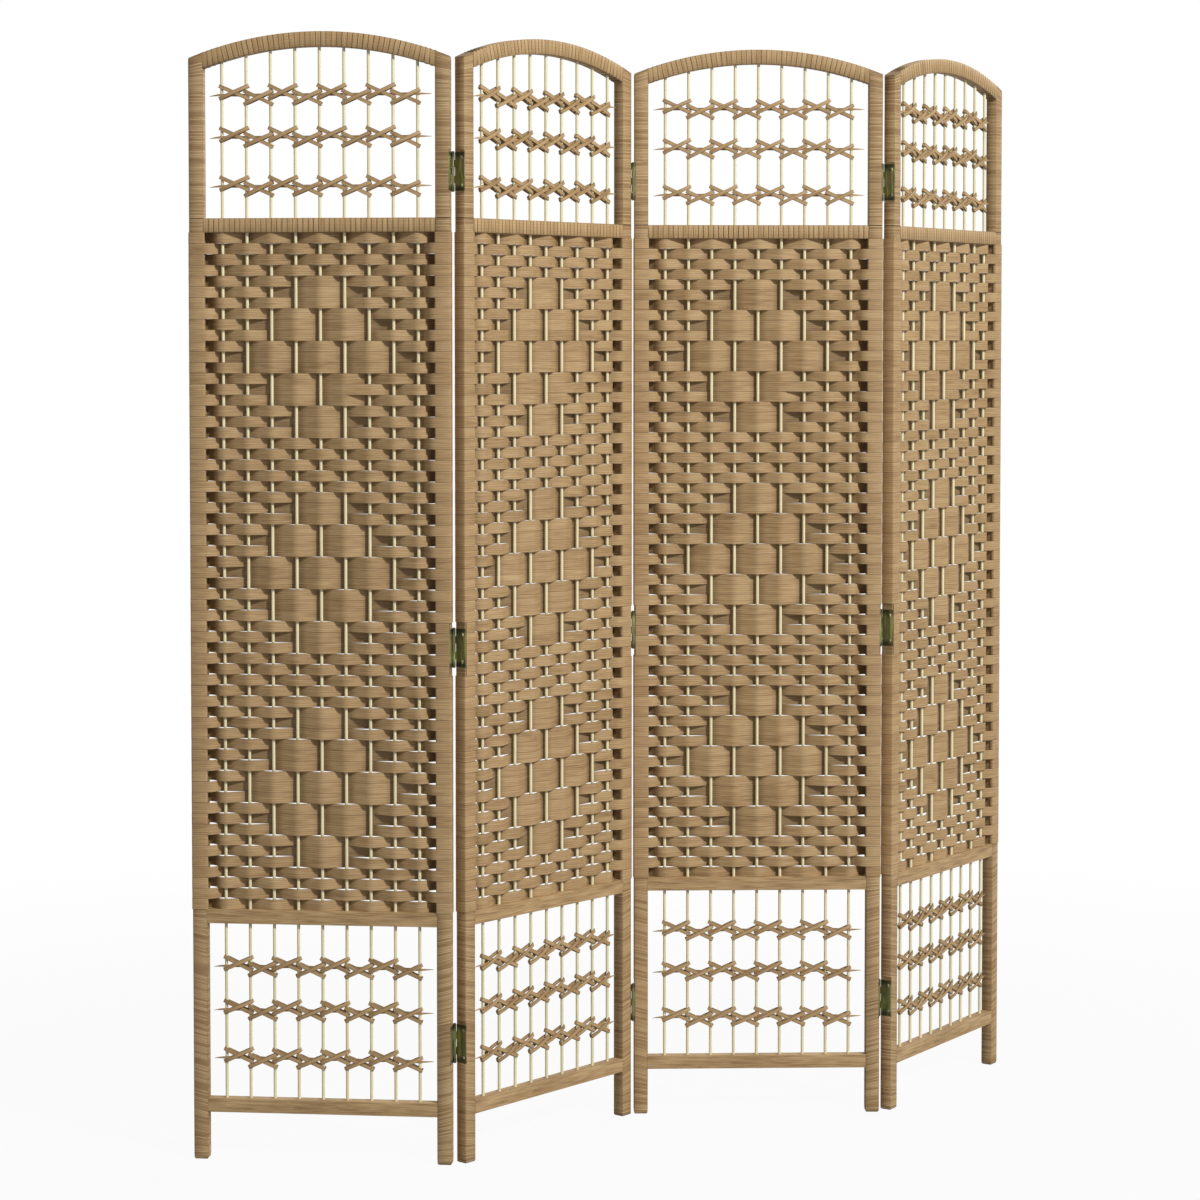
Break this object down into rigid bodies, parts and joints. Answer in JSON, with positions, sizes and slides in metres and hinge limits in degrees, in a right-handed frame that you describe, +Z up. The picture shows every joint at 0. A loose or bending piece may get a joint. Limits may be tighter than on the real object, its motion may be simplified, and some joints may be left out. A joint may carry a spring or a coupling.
{
  "type": "woven folding screen",
  "caption": "Free-standing folding screen of arched, fibre-wrapped panels, each with a woven middle and laced open bays on thin rods, joined in a zigzag by butt hinges.",
  "frame": {"origin": "middle of the floor area that the screen takes up in its standing zigzag, on the floor", "axes": "+Z up; -Y out of the front of the screen; +X to the right as seen from the front"},
  "size_m": [1.3022, 0.677, 1.7],
  "materials": {
    "wrapped_stile": "close windings of brown paper fibre, satin",
    "wrapped_arch": "brown paper fibre wrapped crosswise, satin",
    "wrapped_rail": "brown paper fibre laid lengthwise, satin",
    "dowel_wood": "plain turned wood",
    "bamboo": "pale split bamboo",
    "woven_fibre": "flat brown paper-fibre band, streaked lengthwise",
    "tie_fibre": "flat brown paper-fibre tie",
    "hinge_brass": "dark antique brass",
    "screw_brass": "dark antique brass"
  },
  "bodies": {
    "panel_1": {"panel_1_left_stile": "wrapped_stile", "panel_1_right_stile": "wrapped_stile", "panel_1_arch_rail": "wrapped_arch", "panel_1_upper_rail": "wrapped_arch", "panel_1_lower_rail": "wrapped_rail", "panel_1_bottom_rail": "wrapped_rail", "panel_1_frame_dowels": "dowel_wood", "panel_1_rods": "bamboo", "panel_1_woven_bands": "woven_fibre", "panel_1_top_ties": "tie_fibre", "panel_1_bottom_ties": "tie_fibre", "hinge_1_left_leaves": "hinge_brass", "hinge_1_pins": "hinge_brass", "hinge_1_left_screws": "screw_brass"},
    "panel_2": {"panel_2_left_stile": "wrapped_stile", "panel_2_right_stile": "wrapped_stile", "panel_2_arch_rail": "wrapped_arch", "panel_2_upper_rail": "wrapped_arch", "panel_2_lower_rail": "wrapped_rail", "panel_2_bottom_rail": "wrapped_rail", "panel_2_frame_dowels": "dowel_wood", "panel_2_rods": "bamboo", "panel_2_woven_bands": "woven_fibre", "panel_2_top_ties": "tie_fibre", "panel_2_bottom_ties": "tie_fibre", "hinge_1_right_leaves": "hinge_brass", "hinge_1_right_screws": "screw_brass", "hinge_2_left_leaves": "hinge_brass", "hinge_2_pins": "hinge_brass", "hinge_2_left_screws": "screw_brass"},
    "panel_3": {"panel_3_left_stile": "wrapped_stile", "panel_3_right_stile": "wrapped_stile", "panel_3_arch_rail": "wrapped_arch", "panel_3_upper_rail": "wrapped_arch", "panel_3_lower_rail": "wrapped_rail", "panel_3_bottom_rail": "wrapped_rail", "panel_3_frame_dowels": "dowel_wood", "panel_3_rods": "bamboo", "panel_3_woven_bands": "woven_fibre", "panel_3_top_ties": "tie_fibre", "panel_3_bottom_ties": "tie_fibre", "hinge_2_right_leaves": "hinge_brass", "hinge_2_right_screws": "screw_brass", "hinge_3_left_leaves": "hinge_brass", "hinge_3_pins": "hinge_brass", "hinge_3_left_screws": "screw_brass"},
    "panel_4": {"panel_4_left_stile": "wrapped_stile", "panel_4_right_stile": "wrapped_stile", "panel_4_arch_rail": "wrapped_arch", "panel_4_upper_rail": "wrapped_arch", "panel_4_lower_rail": "wrapped_rail", "panel_4_bottom_rail": "wrapped_rail", "panel_4_frame_dowels": "dowel_wood", "panel_4_rods": "bamboo", "panel_4_woven_bands": "woven_fibre", "panel_4_top_ties": "tie_fibre", "panel_4_bottom_ties": "tie_fibre", "hinge_3_right_leaves": "hinge_brass", "hinge_3_right_screws": "screw_brass"}
  },
  "joints": [
    {"name": "hinge_line_1", "type": "hinge", "parent": "panel_1", "child": "panel_2", "pos_m": [-0.25384, -0.31685, 0.78], "axis": [0, 0, 1], "range_deg": [-56, 124]},
    {"name": "hinge_line_2", "type": "hinge", "parent": "panel_2", "child": "panel_3", "pos_m": [0.01969, -0.02681, 0.78], "axis": [0, 0, -1], "range_deg": [-48.5, 131.5]},
    {"name": "hinge_line_3", "type": "hinge", "parent": "panel_3", "child": "panel_4", "pos_m": [0.41695, 0.0067, 0.78], "axis": [0, 0, 1], "range_deg": [-55.5, 124.5]}
  ]
}
